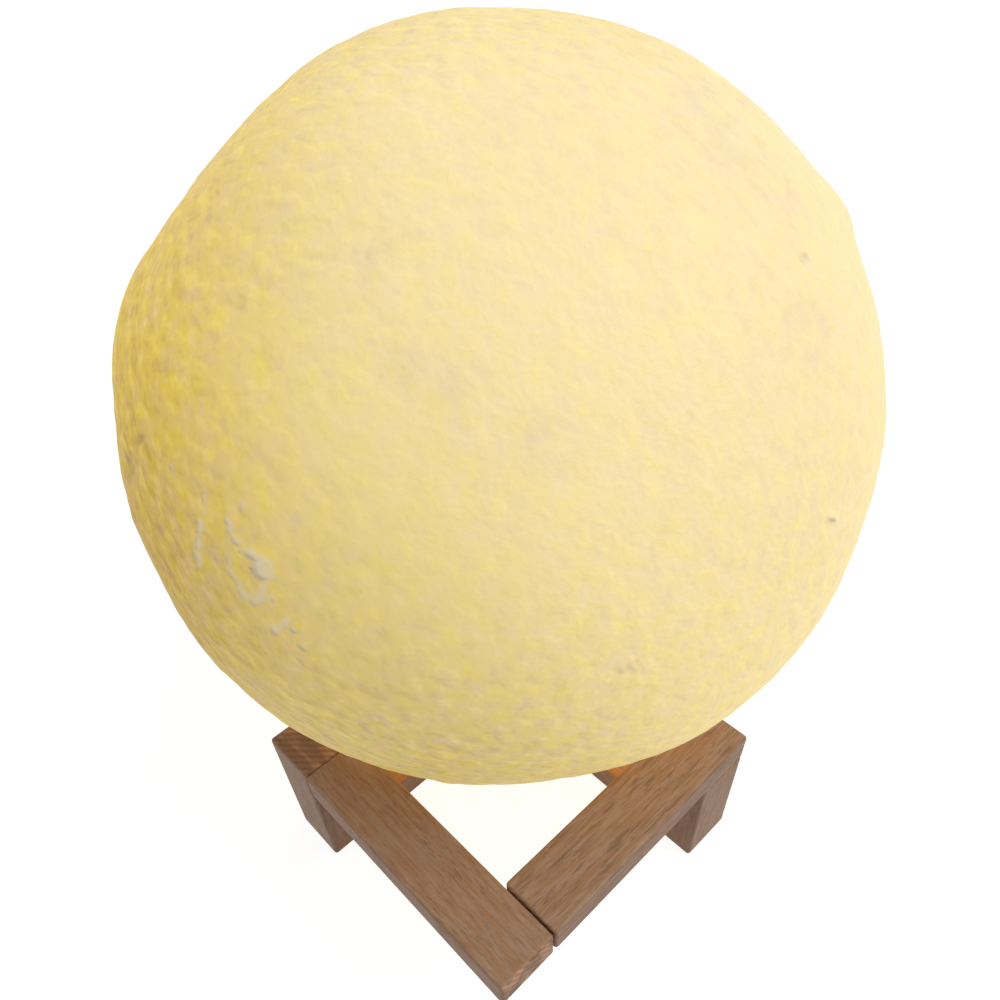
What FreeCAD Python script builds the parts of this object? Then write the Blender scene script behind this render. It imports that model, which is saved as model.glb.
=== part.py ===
import FreeCAD, Part
import os
import Sketcher

# A moon lamp: a printed ball that glows from inside and sits on a crossed beech stand.
# Millimetres, +Z up. The origin is on the table under the middle of the ball. The stand's
# bars lie along X and Y, and its front corner points to -X and -Y.

DOC = FreeCAD.newDocument("MoonLamp")

# The driving dimensions, each with the words that say what it is.
DIMENSIONS = [
    ("bar_width", 14.0, "width of every bar and rail, and both sides of every post"),
    ("bar_height", 8.0, "height of every bar and rail"),
    ("stand_height", 38.0, "table to the top of the posts and bars"),
    ("seat_half", 54.6, "middle of the stand to the inner face of each post"),
    ("corner_gap", 0.4, "open joint at the front and rear corners"),
    ("edge_round", 0.8, "rounding of the wood's edges"),
    ("lap_play", 0.1, "play round the half lap where the rails cross"),
    ("dowel_radius", 2.0, "wooden dowel"),
    ("dowel_length", 12.0, "wooden dowel, half in each piece"),
    ("dowel_play", 0.05, "glue room round a dowel"),
    ("dowel_end_play", 0.5, "glue room past each end of a dowel"),
    ("moon_radius", 75.0, "outside of the printed ball"),
    ("shell_wall", 1.8, "wall of the printed ball"),
    ("seat_gap", 0.3, "ball to the edges that it rests on"),
    ("opening_drop", 72.0, "ball centre down to the flat rim of its opening"),
    ("opening_radius", 17.7, "opening in the bottom of the ball"),
    ("gasket_height", 0.5, "foam ring between the ball and the base"),
    ("gasket_inset", 0.3, "foam ring inside the flange's edge"),
    ("gasket_play", 0.1, "foam ring round the ball's opening"),
    ("flange_radius", 20.8, "base flange"),
    ("flange_height", 2.0, "base flange, and the cover inside it"),
    ("housing_radius", 17.5, "barrel of the base"),
    ("housing_wall", 1.6, "wall and top of the base"),
    ("housing_height", 38.0, "base from the flange's underside to its top"),
    ("boss_circle", 13.2, "radius at which the cover's screw bosses stand"),
    ("boss_radius", 2.9, "cover screw boss"),
    ("boss_height", 8.0, "cover screw boss"),
    ("pilot_radius", 0.85, "core of every screw, and the hole that it cuts its thread in"),
    ("pilot_depth", 6.5, "hole that a screw cuts its thread in"),
    ("screw_radius", 1.0, "outside of every screw thread, which its clearance hole lets by"),
    ("screw_play", 0.2, "clearance hole round a shank"),
    ("head_radius", 1.8, "head of every screw"),
    ("head_height", 1.0, "head of every screw"),
    ("cover_screw_length", 6.0, "shank of a cover screw"),
    ("small_screw_length", 4.0, "shank of a board screw"),
    ("cover_radius", 15.7, "bottom cover"),
    ("board_radius", 15.0, "control board"),
    ("board_lift", 4.4, "cover's inside face to the control board"),
    ("board_height", 1.2, "control board"),
    ("board_play", 0.3, "control board round each screw boss"),
    ("standoff_x", 10.5, "control board standoffs, each side of the middle"),
    ("standoff_y", 1.0, "control board standoffs, towards the charging socket"),
    ("standoff_radius", 2.0, "control board standoff"),
    ("socket_length", 7.6, "charging socket"),
    ("socket_width", 2.9, "charging socket"),
    ("socket_y", 7.6, "charging socket from the middle"),
    ("socket_wall", 0.4, "metal shell of the charging socket"),
    ("socket_depth", 5.0, "mouth of the charging socket"),
    ("socket_recess", 0.4, "cover's outside face to the socket's mouth"),
    ("socket_play", 0.3, "gap round the charging socket"),
    ("button_y", 6.2, "power button from the middle, the other way"),
    ("button_radius", 2.8, "power button"),
    ("button_proud", 0.8, "power button below the cover"),
    ("button_play", 0.3, "gap round the power button"),
    ("button_flange", 0.9, "power button's flange past its sides"),
    ("flange_gap", 0.1, "button's flange above the cover"),
    ("button_flange_height", 0.8, "power button's flange"),
    ("switch_side", 6.0, "push switch body"),
    ("switch_height", 1.8, "push switch body"),
    ("plunger_radius", 1.6, "push switch plunger"),
    ("plunger_height", 0.8, "push switch plunger"),
    ("pipe_radius", 1.0, "light pipe of the charging indicator"),
    ("pipe_x", 7.0, "light pipe from the middle"),
    ("pipe_play", 0.05, "gap round the light pipe"),
    ("pipe_drop", 0.8, "top of the light pipe below the control board"),
    ("cell_length", 24.0, "battery cell"),
    ("cell_width", 7.0, "battery cell"),
    ("cell_height", 24.0, "battery cell"),
    ("pad_height", 3.0, "foam pad under the battery cell"),
    ("tab_inset", 5.0, "end of the battery cell to its first wire"),
    ("tab_pitch", 2.0, "between the battery cell's two wires"),
    ("wire_radius", 0.5, "every wire"),
    ("wire_y", 9.0, "lamp wires from the middle"),
    ("wire_hole_radius", 2.4, "hole for the lamp wires"),
    ("lamp_board_radius", 15.0, "board that carries the lamps"),
    ("lamp_board_height", 1.6, "board that carries the lamps"),
    ("lamp_screw_offset", 8.2, "lamp board screws from the middle, along X and Y"),
    ("lamp_boss_radius", 2.2, "lamp board screw boss"),
    ("lamp_boss_height", 5.0, "lamp board screw boss"),
    ("lamp_circle", 8.0, "radius of the ring of lamps"),
    ("lamp_side", 3.0, "one lamp"),
    ("lamp_height", 0.8, "one lamp"),
]

sheet = DOC.addObject("Spreadsheet::Sheet", "Sizes")
for row, (alias, value, words) in enumerate(DIMENSIONS, start=1):
    sheet.set("A%d" % row, alias)
    sheet.set("B%d" % row, str(value))
    sheet.set("C%d" % row, words)
    sheet.setAlias("B%d" % row, alias)
DOC.recompute()


def cells(text):
    """Turn a sum in plain aliases into an expression on the sheet, such as 'bar_width / 2'."""
    for alias in sorted((line[0] for line in DIMENSIONS), key=len, reverse=True):
        text = text.replace(alias, "<<%s>>" % alias.upper())
    for alias, value, words in DIMENSIONS:
        text = text.replace("<<%s>>" % alias.upper(), "Sizes." + alias)
    return text


# Heights that many pieces share, as sums of the dimensions.
MOON_Z = "(stand_height + sqrt(moon_radius^2 - seat_half^2) + seat_gap)"
RIM_Z = "(%s - opening_drop)" % MOON_Z
BASE_Z = "(%s - gasket_height - flange_height)" % RIM_Z
COVER_TOP = "(%s + flange_height)" % BASE_Z
BOARD_Z = "(%s + board_lift)" % COVER_TOP
BOARD_TOP = "(%s + board_height)" % BOARD_Z
CEILING = "(%s + housing_height - housing_wall)" % BASE_Z
HOUSING_TOP = "(%s + housing_height)" % BASE_Z
LAMP_TOP = "(%s + lamp_board_height)" % HOUSING_TOP
BAR_Z = "(stand_height - bar_height)"
POST_MIDDLE = "(seat_half + bar_width / 2)"
POST_OUTER = "(seat_half + bar_width)"


def bind(thing, **sums):
    """Bind properties of an object to sums of the dimensions."""
    for name, text in sums.items():
        thing.setExpression(name, cells(text))


def place(thing, x, y, z):
    """Bind an object's position to sums of the dimensions."""
    for axis, text in (("x", x), ("y", y), ("z", z)):
        thing.setExpression("Placement.Base." + axis, cells(text))


def box(name, length, width, height, x, y, z):
    """A box from its lowest corner."""
    thing = DOC.addObject("Part::Box", name)
    bind(thing, Length=length, Width=width, Height=height)
    place(thing, x, y, z)
    return thing


def middle_box(name, length, width, height, x, y, z):
    """A box centred on x and y, standing on z."""
    left = "%s - (%s) / 2" % (x, length)
    front = "%s - (%s) / 2" % (y, width)
    return box(name, length, width, height, left, front, z)


def rod(name, radius, length, x, y, z, axis="z"):
    """A cylinder from the middle of its first end, along +X, +Y or +Z."""
    thing = DOC.addObject("Part::Cylinder", name)
    bind(thing, Radius=radius, Height=length)
    turns = {
        "x": FreeCAD.Rotation(FreeCAD.Vector(0, 1, 0), 90),
        "y": FreeCAD.Rotation(FreeCAD.Vector(1, 0, 0), -90),
        "z": FreeCAD.Rotation(),
    }
    thing.Placement = FreeCAD.Placement(FreeCAD.Vector(), turns[axis])
    place(thing, x, y, z)
    return thing


def ball(name, radius, z):
    """A sphere on the Z axis."""
    thing = DOC.addObject("Part::Sphere", name)
    bind(thing, Radius=radius)
    place(thing, "0", "0", z)
    return thing


def fuse(name, pieces):
    thing = DOC.addObject("Part::MultiFuse", name)
    thing.Shapes = pieces
    return thing


def cut(name, base, tools):
    """Take one or more tools away from a base."""
    thing = DOC.addObject("Part::Cut", name)
    thing.Base = base
    thing.Tool = tools[0] if len(tools) == 1 else fuse(name + "_tools", tools)
    return thing


def group(name, pieces):
    """Separate solids that share one node."""
    thing = DOC.addObject("Part::Compound", name)
    thing.Links = pieces
    return thing


NODES = []


def node(name, thing):
    """Name a finished sub-part."""
    thing.Label = name
    NODES.append(thing)
    return thing


def origin_plane(body, role):
    return next(plane for plane in body.Origin.OriginFeatures if plane.Role == role)


def stick(name, length, width, height, x, y, z):
    """A wooden stick with rounded edges: a padded rectangle, from its lowest corner."""
    body = DOC.addObject("PartDesign::Body", name)
    sketch = body.newObject("Sketcher::SketchObject", name + "_sketch")
    sketch.AttachmentSupport = [(origin_plane(body, "XY_Plane"), "")]
    sketch.MapMode = "FlatFace"
    start = 10.0
    corners = [(0, 0), (start, 0), (start, start), (0, start)]
    for index, (left, low) in enumerate(corners):
        right, high = corners[(index + 1) % 4]
        line = Part.LineSegment(FreeCAD.Vector(left, low, 0), FreeCAD.Vector(right, high, 0))
        sketch.addGeometry(line)
    for index in range(4):
        sketch.addConstraint(Sketcher.Constraint("Coincident", index, 2, (index + 1) % 4, 1))
    sketch.addConstraint(Sketcher.Constraint("Coincident", 0, 1, -1, 1))
    for index, kind in enumerate(("Horizontal", "Vertical", "Horizontal", "Vertical")):
        sketch.addConstraint(Sketcher.Constraint(kind, index))
    along = sketch.addConstraint(Sketcher.Constraint("DistanceX", 0, 1, 0, 2, start))
    across = sketch.addConstraint(Sketcher.Constraint("DistanceY", 1, 1, 1, 2, start))
    sketch.setExpression("Constraints[%d]" % along, cells(length))
    sketch.setExpression("Constraints[%d]" % across, cells(width))
    pad = body.newObject("PartDesign::Pad", name + "_pad")
    pad.Profile = sketch
    bind(pad, Length=height)
    DOC.recompute()
    edges = ["Edge%d" % (index + 1) for index in range(len(pad.Shape.Edges))]
    fillet = body.newObject("PartDesign::Fillet", name + "_rounding")
    fillet.Base = (pad, edges)
    bind(fillet, Radius="edge_round")
    place(body, x, y, z)
    DOC.recompute()
    return body


# ---- The stand -------------------------------------------------------------------------
# Two S-shaped halves cross in a half lap. Each half is a bar, a post, a rail, a post and a
# bar, and the rear half of the stand is the front half turned by half a turn.

def dowel_hole(name, x, y, z, axis):
    """The hole of one dowel, centred on the joint."""
    half = "(dowel_length / 2 + dowel_end_play)"
    return dowel_rod(name, "dowel_radius + dowel_play", half, x, y, z, axis)


def dowel_rod(name, radius, half, x, y, z, axis):
    """A rod centred on the joint between two pieces of wood."""
    start = {"x": x, "y": y, "z": z}
    start[axis] = "%s - %s" % (start[axis], half)
    return rod(name, radius, "2 * " + half, start["x"], start["y"], start["z"], axis)


# Each joint: its name, its middle, and the axis of its dowel.
RAIL_MIDDLE_Z = "bar_height / 2"
BAR_MIDDLE_Z = "(stand_height - bar_height / 2)"
JOINTS = {
    "front_right_top": ("0", "-" + POST_MIDDLE, BAR_Z, "z"),
    "rear_left_top": ("0", POST_MIDDLE, BAR_Z, "z"),
    "front_left_side": ("-" + POST_MIDDLE, "-bar_width / 2", BAR_MIDDLE_Z, "y"),
    "rear_right_side": (POST_MIDDLE, "bar_width / 2", BAR_MIDDLE_Z, "y"),
    "front_right_foot": ("0", "-seat_half", RAIL_MIDDLE_Z, "y"),
    "rear_left_foot": ("0", "seat_half", RAIL_MIDDLE_Z, "y"),
    "front_left_foot": ("-seat_half", "0", RAIL_MIDDLE_Z, "x"),
    "rear_right_foot": ("seat_half", "0", RAIL_MIDDLE_Z, "x"),
}


def drilled(name, wood, joints, tools=()):
    """A stick of the stand with its dowel holes and any other cuts."""
    holes = [dowel_hole("%s_%s_hole" % (name, joint), *JOINTS[joint]) for joint in joints]
    return node(name, cut(name, wood, holes + list(tools)))


def top_bars():
    """The four bars at the top, two for each corner."""
    long_side = "(seat_half + bar_width / 2 - corner_gap)"
    short_side = "(seat_half + bar_width / 2)"
    over = stick("front_right_stick", long_side, "bar_width", "bar_height",
                 "corner_gap - seat_half", "-" + POST_OUTER, BAR_Z)
    drilled("front_right_bar", over, ["front_right_top"])
    beside = stick("front_left_stick", "bar_width", short_side, "bar_height",
                   "-" + POST_OUTER, "-" + POST_OUTER, BAR_Z)
    drilled("front_left_bar", beside, ["front_left_side"])
    over = stick("rear_left_stick", long_side, "bar_width", "bar_height",
                 "-bar_width / 2", "seat_half", BAR_Z)
    drilled("rear_left_bar", over, ["rear_left_top"])
    beside = stick("rear_right_stick", "bar_width", short_side, "bar_height",
                   "seat_half", "bar_width / 2", BAR_Z)
    drilled("rear_right_bar", beside, ["rear_right_side"])


def posts():
    """Two posts end under a bar, and two run up beside a bar and show their end grain."""
    left = "-bar_width / 2"
    under = stick("front_right_leg", "bar_width", "bar_width", BAR_Z, left, "-" + POST_OUTER, "0")
    drilled("front_right_post", under, ["front_right_top", "front_right_foot"])
    under = stick("rear_left_leg", "bar_width", "bar_width", BAR_Z, left, "seat_half", "0")
    drilled("rear_left_post", under, ["rear_left_top", "rear_left_foot"])
    full = stick("front_left_leg", "bar_width", "bar_width", "stand_height",
                 "-" + POST_OUTER, left, "0")
    drilled("front_left_post", full, ["front_left_side", "front_left_foot"])
    full = stick("rear_right_leg", "bar_width", "bar_width", "stand_height",
                 "seat_half", left, "0")
    drilled("rear_right_post", full, ["rear_right_side", "rear_right_foot"])


def rails():
    """The two rails on the table, half lapped where they cross."""
    notch = "bar_width + 2 * lap_play"
    over = "bar_height"
    lower = stick("lower_stick", "bar_width", "2 * seat_half", "bar_height",
                  "-bar_width / 2", "-seat_half", "0")
    top_notch = middle_box("lower_notch", "2 * bar_width", notch, over,
                           "0", "0", "bar_height / 2 - lap_play / 2")
    drilled("lower_rail", lower, ["front_right_foot", "rear_left_foot"], [top_notch])
    upper = stick("upper_stick", "2 * seat_half", "bar_width", "bar_height",
                  "-seat_half", "-bar_width / 2", "0")
    low_notch = middle_box("upper_notch", notch, "2 * bar_width", over,
                           "0", "0", "-bar_height / 2 + lap_play / 2")
    drilled("upper_rail", upper, ["front_left_foot", "rear_right_foot"], [low_notch])


def dowels():
    pins = []
    for joint, (x, y, z, axis) in JOINTS.items():
        pin = dowel_rod(joint + "_dowel", "dowel_radius", "(dowel_length / 2)", x, y, z, axis)
        pins.append(pin)
    node("dowel_pins", group("dowel_pins", pins))


# ---- The ball --------------------------------------------------------------------------

def moon_shell():
    """The printed ball, with a flat-rimmed opening below."""
    outside = ball("moon_outside", "moon_radius", MOON_Z)
    inside = ball("moon_inside", "moon_radius - shell_wall", MOON_Z)
    below = rod("below_rim", "moon_radius", "moon_radius",
                "0", "0", "%s - moon_radius" % RIM_Z)
    opening = rod("moon_opening", "opening_radius", "2 * shell_wall", "0", "0", RIM_Z)
    node("moon_shell", cut("moon_shell", outside, [inside, below, opening]))


def ring(name, outer, inner, height, z):
    """A flat ring on the Z axis."""
    disc = rod(name + "_disc", outer, height, "0", "0", z)
    hole = rod(name + "_hole", inner, height, "0", "0", z)
    return cut(name, disc, [hole])


# ---- The base in the ball's opening ----------------------------------------------------

BOSSES = [30, 150, 270]
SOCKET = ("0", "socket_y")
BUTTON = ("0", "-button_y")
PIPE = ("pipe_x", "0")
STANDOFFS = [("standoff_x", "standoff_y"), ("-standoff_x", "standoff_y")]
LAMP_SCREWS = [("lamp_screw_offset", "lamp_screw_offset"),
               ("-lamp_screw_offset", "-lamp_screw_offset")]


def round_places(angles, radius):
    """Points on a circle, as sums of the dimensions."""
    return [("%s * cos(%d deg)" % (radius, angle), "%s * sin(%d deg)" % (radius, angle))
            for angle in angles]


def rods(name, radius, length, places, z):
    """The same upright rod at several places."""
    return [rod("%s_%d" % (name, index), radius, length, x, y, z)
            for index, (x, y) in enumerate(places, start=1)]


def base_housing():
    """The barrel that holds the battery, with its flange, screw bosses and wire hole."""
    bosses = round_places(BOSSES, "boss_circle")
    inner = "(housing_radius - housing_wall)"
    flange = rod("housing_flange", "flange_radius", "flange_height", "0", "0", BASE_Z)
    barrel = rod("housing_barrel", "housing_radius", "housing_height", "0", "0", BASE_Z)
    outside = fuse("housing_outside", [flange, barrel])
    room = rod("housing_room", inner, "housing_height - housing_wall", "0", "0", BASE_Z)
    cup = cut("housing_cup", outside, [room])
    posts_up = rods("cover_boss", "boss_radius", "boss_height", bosses, COVER_TOP)
    posts_down = rods("lamp_boss", "lamp_boss_radius", "lamp_boss_height", LAMP_SCREWS,
                      "%s - lamp_boss_height" % CEILING)
    solid = fuse("housing_solid", [cup] + posts_up + posts_down)
    pilots = rods("cover_pilot", "pilot_radius", "pilot_depth", bosses, COVER_TOP)
    lamp_pilots = rods("lamp_pilot", "pilot_radius", "pilot_depth", LAMP_SCREWS,
                       "%s - pilot_depth" % HOUSING_TOP)
    wires = rod("housing_wire_hole", "wire_hole_radius", "3 * housing_wall",
                "0", "wire_y", "%s - 2 * housing_wall" % HOUSING_TOP)
    node("base_housing", cut("base_housing", solid, pilots + lamp_pilots + [wires]))


def base_cover():
    """The bottom cover, with the holes for the socket, button, light pipe and screws."""
    disc = rod("cover_disc", "cover_radius", "flange_height", "0", "0", BASE_Z)
    standoffs = rods("standoff", "standoff_radius", "board_lift", STANDOFFS, COVER_TOP)
    solid = fuse("cover_solid", [disc] + standoffs)
    through = "2 * flange_height"
    low = "%s - flange_height / 2" % BASE_Z
    button = rod("button_hole", "button_radius + button_play", through, *BUTTON, low)
    pipe = rod("pipe_hole", "pipe_radius + pipe_play", through, *PIPE, low)
    socket = middle_box("socket_hole", "socket_length + 2 * socket_play",
                        "socket_width + 2 * socket_play", through, *SOCKET, low)
    bosses = round_places(BOSSES, "boss_circle")
    screws = rods("cover_hole", "screw_radius + screw_play", through, bosses, low)
    heads = rods("cover_counterbore", "head_radius + screw_play", "head_height", bosses, BASE_Z)
    pilots = rods("standoff_pilot", "pilot_radius", "board_lift", STANDOFFS, COVER_TOP)
    node("base_cover", cut("base_cover", solid, [button, pipe, socket] + screws + heads + pilots))


def screws(name, length, places, z, head_down):
    """Small screws as one node: heads below their shanks, or above."""
    made = []
    for index, (x, y) in enumerate(places, start=1):
        shank_z = "%s + head_height" % z if head_down else "%s - %s" % (z, length)
        head = rod("%s_head_%d" % (name, index), "head_radius", "head_height", x, y, z)
        shank = rod("%s_shank_%d" % (name, index), "pilot_radius", length, x, y, shank_z)
        made.append(fuse("%s_%d" % (name, index), [head, shank]))
    node(name, group(name, made))


def control_board():
    """The round board behind the cover, notched round the screw bosses."""
    bosses = round_places(BOSSES, "boss_circle")
    disc = rod("board_disc", "board_radius", "board_height", "0", "0", BOARD_Z)
    notches = rods("board_notch", "boss_radius + board_play", "board_height", bosses, BOARD_Z)
    holes = rods("board_hole", "screw_radius + screw_play", "board_height", STANDOFFS, BOARD_Z)
    node("control_board", cut("control_board", disc, notches + holes))


def charge_socket():
    """The charging socket: a metal box, open below for the plug."""
    mouth_z = "(%s + socket_recess)" % BASE_Z
    height = "%s - %s" % (BOARD_Z, mouth_z)
    body = middle_box("socket_body", "socket_length", "socket_width", height, *SOCKET, mouth_z)
    mouth = middle_box("socket_mouth", "socket_length - 2 * socket_wall",
                       "socket_width - 2 * socket_wall", "socket_depth", *SOCKET, mouth_z)
    node("charge_socket", cut("charge_socket", body, [mouth]))


def push_switch():
    """The switch that the power button presses."""
    body_z = "(%s - switch_height)" % BOARD_Z
    body = middle_box("switch_body", "switch_side", "switch_side", "switch_height",
                      *BUTTON, body_z)
    plunger = rod("switch_plunger", "plunger_radius", "plunger_height", *BUTTON,
                  "%s - plunger_height" % body_z)
    node("push_switch", fuse("push_switch", [body, plunger]))


def power_button():
    """The button in the cover, with the flange that keeps it in."""
    low = "(%s - button_proud)" % BASE_Z
    flange_z = "(%s + flange_gap)" % COVER_TOP
    stem = rod("button_stem", "button_radius", "%s - %s" % (flange_z, low), *BUTTON, low)
    flange = rod("button_flange_disc", "button_radius + button_flange", "button_flange_height",
                 *BUTTON, flange_z)
    node("power_button", fuse("power_button", [stem, flange]))


def indicator():
    """The clear rod that carries the charging light to the cover's face."""
    pipe = rod("light_pipe", "pipe_radius", "flange_height + board_lift - pipe_drop", *PIPE, BASE_Z)
    node("indicator_light_pipe", pipe)


# Each chip on the control board: its length, width and height, and its middle.
CHIPS = [
    (5.0, 4.0, 1.4, 9.0, -4.5),
    (4.0, 4.0, 2.0, 4.5, 9.5),
    (3.0, 3.0, 1.0, -7.0, -6.5),
    (2.0, 1.2, 0.8, -7.5, 9.0),
    (2.0, 1.2, 0.8, -3.5, 11.0),
]


def board_chips():
    made = []
    for index, (length, width, height, x, y) in enumerate(CHIPS, start=1):
        numbers = [str(length), str(width), str(height), str(x), str(y)]
        made.append(middle_box("chip_%d" % index, *numbers, BOARD_TOP))
    node("board_chips", group("board_chips", made))


def battery():
    """The pouch cell, standing on a foam pad under the housing's ceiling."""
    cell_z = "(%s + pad_height)" % BOARD_TOP
    cell_top = "(%s + cell_height)" % cell_z
    cell = middle_box("cell_block", "cell_length", "cell_width", "cell_height", "0", "0", cell_z)
    node("battery_cell", cell)
    low = middle_box("low_pad", "cell_length / 3", "cell_width", "pad_height", "0", "0", BOARD_TOP)
    high = middle_box("high_pad", "cell_length / 2", "cell_width",
                      "%s - %s" % (CEILING, cell_top), "0", "0", cell_top)
    node("battery_foam_pads", group("battery_foam_pads", [low, high]))
    ends = [("-cell_length / 2 + tab_inset", "0"), ("-cell_length / 2 + tab_inset + tab_pitch", "0")]
    wires = rods("battery_wire", "wire_radius", "pad_height", ends, BOARD_TOP)
    node("battery_wires", group("battery_wires", wires))


def lamp_module():
    """The lamp board on top of the base, its lamps, and the wires up to it."""
    board = rod("lamp_board", "lamp_board_radius", "lamp_board_height", "0", "0", HOUSING_TOP)
    holes = rods("lamp_board_hole", "screw_radius + screw_play", "lamp_board_height",
                 LAMP_SCREWS, HOUSING_TOP)
    node("led_board", cut("led_board", board, holes))
    places = [("0", "0")] + round_places([22, 67, 112, 157, 202, 247, 292, 337], "lamp_circle")
    lamps = [middle_box("lamp_%d" % index, "lamp_side", "lamp_side", "lamp_height", x, y, LAMP_TOP)
             for index, (x, y) in enumerate(places, start=1)]
    node("led_chips", group("led_chips", lamps))
    spread = [("-3 * wire_radius", "wire_y"), ("0", "wire_y"), ("3 * wire_radius", "wire_y")]
    wires = rods("lamp_wire", "wire_radius", "%s - %s" % (HOUSING_TOP, BOARD_TOP), spread,
                 BOARD_TOP)
    node("led_wires", group("led_wires", wires))


top_bars()
posts()
rails()
dowels()
moon_shell()
node("base_gasket", ring("base_gasket", "flange_radius - gasket_inset",
                         "opening_radius + gasket_play", "gasket_height",
                         "%s - gasket_height" % RIM_Z))
base_housing()
base_cover()
screws("cover_screws", "cover_screw_length", round_places(BOSSES, "boss_circle"), BASE_Z, True)
control_board()
screws("board_screws", "small_screw_length", STANDOFFS, BOARD_TOP, False)
charge_socket()
push_switch()
power_button()
indicator()
board_chips()
battery()
lamp_module()
screws("led_board_screws", "small_screw_length", LAMP_SCREWS, LAMP_TOP, False)
DOC.recompute()

for thing in DOC.Objects:
    if "Invalid" in thing.State or "Error" in thing.State:
        raise RuntimeError("%s is in state %s" % (thing.Name, thing.State))
for thing in NODES:
    if thing.Shape.isNull() or not thing.Shape.isValid():
        raise RuntimeError("%s has no valid shape" % thing.Label)

os.makedirs("parts", exist_ok=True)
for thing in NODES:
    thing.Shape.exportStep("parts/%s.step" % thing.Label)
    box_of = thing.Shape.BoundBox
    print("%-22s %3d solids %10.1f mm3  z %6.1f to %6.1f" % (
        thing.Label, len(thing.Shape.Solids), thing.Shape.Volume, box_of.ZMin, box_of.ZMax))
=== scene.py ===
"""A moon lamp: a printed ball, lit from inside, resting on a crossed beech stand."""

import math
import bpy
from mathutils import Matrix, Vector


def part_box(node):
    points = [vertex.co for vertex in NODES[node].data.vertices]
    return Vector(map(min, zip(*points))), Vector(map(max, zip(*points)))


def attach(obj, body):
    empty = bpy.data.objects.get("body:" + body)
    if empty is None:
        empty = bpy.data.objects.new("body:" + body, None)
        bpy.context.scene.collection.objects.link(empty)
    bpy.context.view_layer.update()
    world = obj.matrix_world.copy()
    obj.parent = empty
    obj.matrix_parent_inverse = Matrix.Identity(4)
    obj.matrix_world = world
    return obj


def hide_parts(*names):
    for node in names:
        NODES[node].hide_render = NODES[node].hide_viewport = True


bl_info = {
    "name": "Moon Lamp",
    "version": (1, 0, 0),
    "blender": (4, 5, 0),
    "location": "View3D > Sidebar > Moon Lamp",
    "description": "Dresses the moon lamp's frame: printed ball, beech stand, base and stage",
    "category": "Object",
}

import bmesh
import bpy
import numpy as np
from bpy.props import FloatProperty, FloatVectorProperty, IntProperty, PointerProperty
from mathutils import Matrix, Vector

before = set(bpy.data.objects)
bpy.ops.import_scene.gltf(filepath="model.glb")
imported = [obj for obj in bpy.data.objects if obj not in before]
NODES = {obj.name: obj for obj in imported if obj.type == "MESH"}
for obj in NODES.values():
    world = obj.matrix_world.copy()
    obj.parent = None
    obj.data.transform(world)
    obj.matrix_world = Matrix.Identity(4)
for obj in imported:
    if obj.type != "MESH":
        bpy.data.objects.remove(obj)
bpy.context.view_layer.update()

MM = 0.001

# ---- Places that come from the frame ----------------------------------------------------

SHELL_LOW, SHELL_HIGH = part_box("moon_shell")
BALL_RADIUS = (SHELL_HIGH.x - SHELL_LOW.x) / 2
BALL_CENTRE = Vector((0, 0, SHELL_HIGH.z - BALL_RADIUS))
RIM_Z = SHELL_LOW.z
OPENING_RADIUS = 17.7 * MM
SHELL_WALL = 1.8 * MM
SKIN_FADE = 4 * MM  # how far above the rim the printed relief reaches its full height

# ---- The photograph's view ---------------------------------------------------------------

PICTURE = 1000
FOCAL_PIXELS = 850.0
CAMERA_PLACE = Vector((-0.0987, -0.1093, 0.2006))
CAMERA_AZIMUTH = 49.16
CAMERA_ELEVATION = 47.0
CAMERA_ROLL = -3.85
CAMERA_SHIFT = (0.005, 0.081)
LENS_AXIS = ((0.5 - CAMERA_SHIFT[0]) * PICTURE, (0.5 + CAMERA_SHIFT[1]) * PICTURE)

# The ball's round outline, its middle and its radius in pixels, in the photograph and in
# this camera's picture.
PICTURED_MIDDLE = (501.3, 382.4)
PICTURED_RADIUS = 383.5
SEEN_MIDDLE = (501.0, 399.3)
SEEN_RADIUS = 389.0


def camera_axes():
    """The camera's right, up and backward directions."""
    azimuth, elevation, roll = (
        math.radians(turn) for turn in (CAMERA_AZIMUTH, CAMERA_ELEVATION, CAMERA_ROLL))
    ahead = Vector((math.cos(elevation) * math.cos(azimuth),
                    math.cos(elevation) * math.sin(azimuth), -math.sin(elevation)))
    right = ahead.cross(Vector((0, 0, 1))).normalized()
    above = right.cross(ahead)
    turned_right = right * math.cos(roll) + above * math.sin(roll)
    turned_up = above * math.cos(roll) - right * math.sin(roll)
    return turned_right, turned_up, -ahead


def sideways(degrees):
    """A direction square to the photograph's view: 0 is right, 90 is up."""
    right, above, _ = camera_axes()
    return right * math.cos(math.radians(degrees)) + above * math.sin(math.radians(degrees))


def photo_pixels(places):
    """The photograph's pixels that show these points of the ball, and how squarely each
    point faces the camera."""
    right, above, back = (np.array(axis) for axis in camera_axes())
    seen = places - np.array(CAMERA_PLACE)
    depth = -(seen @ back)
    across = LENS_AXIS[0] + FOCAL_PIXELS * (seen @ right) / depth
    down = LENS_AXIS[1] - FOCAL_PIXELS * (seen @ above) / depth
    scale = PICTURED_RADIUS / SEEN_RADIUS
    outward = places - np.array(BALL_CENTRE)
    outward /= np.maximum(np.linalg.norm(outward, axis=1), 1e-9)[:, None]
    towards = -seen / np.linalg.norm(seen, axis=1)[:, None]
    return (np.stack([(across - SEEN_MIDDLE[0]) * scale + PICTURED_MIDDLE[0],
                      (down - SEEN_MIDDLE[1]) * scale + PICTURED_MIDDLE[1]], axis=1),
            (outward * towards).sum(axis=1))


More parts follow.
